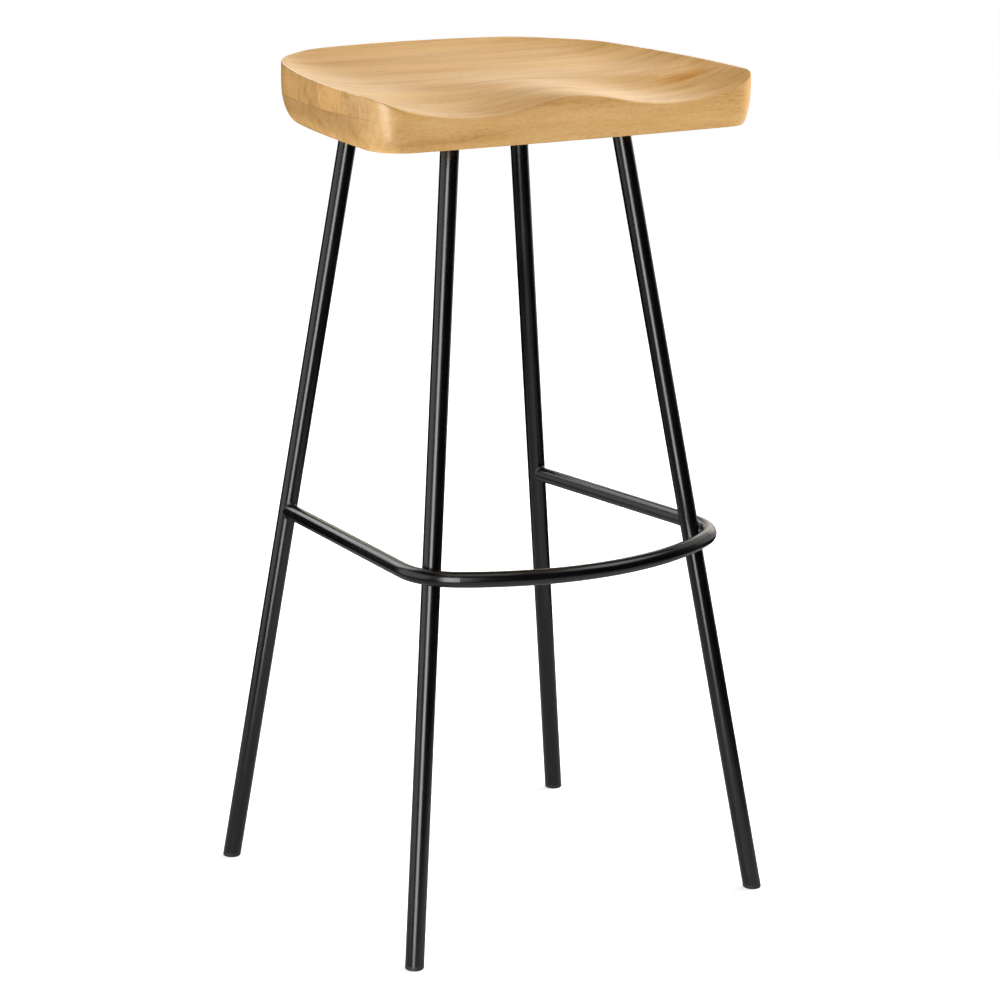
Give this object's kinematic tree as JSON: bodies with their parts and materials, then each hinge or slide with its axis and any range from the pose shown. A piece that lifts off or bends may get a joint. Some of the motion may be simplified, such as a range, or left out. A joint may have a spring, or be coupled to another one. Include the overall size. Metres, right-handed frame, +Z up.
{
  "type": "bar stool",
  "caption": "Backless bar stool: carved two-hollow wooden saddle seat on splayed black tube legs, with a bowed U-shaped footrest tube.",
  "frame": {"origin": "on the floor, in the middle of the overall footprint (footrest's front to the rear feet)", "axes": "+Z up, -Y towards the front, where the footrest bows out, +X to the right seen from the front"},
  "size_m": [0.4098, 0.3707, 0.7783],
  "materials": {
    "seat_timber": "clear satin lacquer over pale honey-coloured hardwood",
    "frame_powder_coat": "black powder coat, semi-gloss",
    "weld_powder_coat": "weld beads under the same black powder coat",
    "glide_plastic": "black moulded plastic, slightly worn underneath",
    "fastener_steel": "black zinc plated",
    "insert_brass": "plain machined"
  },
  "bodies": {
    "root": {"seat_stave_lower_1": "seat_timber", "seat_stave_upper_1": "seat_timber", "seat_stave_lower_2": "seat_timber", "seat_stave_upper_2": "seat_timber", "seat_stave_lower_3": "seat_timber", "seat_stave_upper_3": "seat_timber", "seat_stave_lower_4": "seat_timber", "seat_stave_upper_4": "seat_timber", "seat_stave_lower_5": "seat_timber", "seat_stave_upper_5": "seat_timber", "seat_stave_lower_6": "seat_timber", "seat_stave_upper_6": "seat_timber", "mounting_plate": "frame_powder_coat", "seat_bolts": "fastener_steel", "bolt_washers": "fastener_steel", "threaded_inserts": "insert_brass", "leg_tube_front_left": "frame_powder_coat", "foot_glide_front_left": "glide_plastic", "plate_weld_front_left": "weld_powder_coat", "leg_tube_front_right": "frame_powder_coat", "foot_glide_front_right": "glide_plastic", "plate_weld_front_right": "weld_powder_coat", "leg_tube_back_left": "frame_powder_coat", "foot_glide_back_left": "glide_plastic", "plate_weld_back_left": "weld_powder_coat", "leg_tube_back_right": "frame_powder_coat", "foot_glide_back_right": "glide_plastic", "plate_weld_back_right": "weld_powder_coat", "footrest_tube": "frame_powder_coat", "footrest_weld_front_left": "weld_powder_coat", "footrest_weld_back_left": "weld_powder_coat", "footrest_weld_front_right": "weld_powder_coat", "footrest_weld_back_right": "weld_powder_coat"}
  },
  "joints": []
}
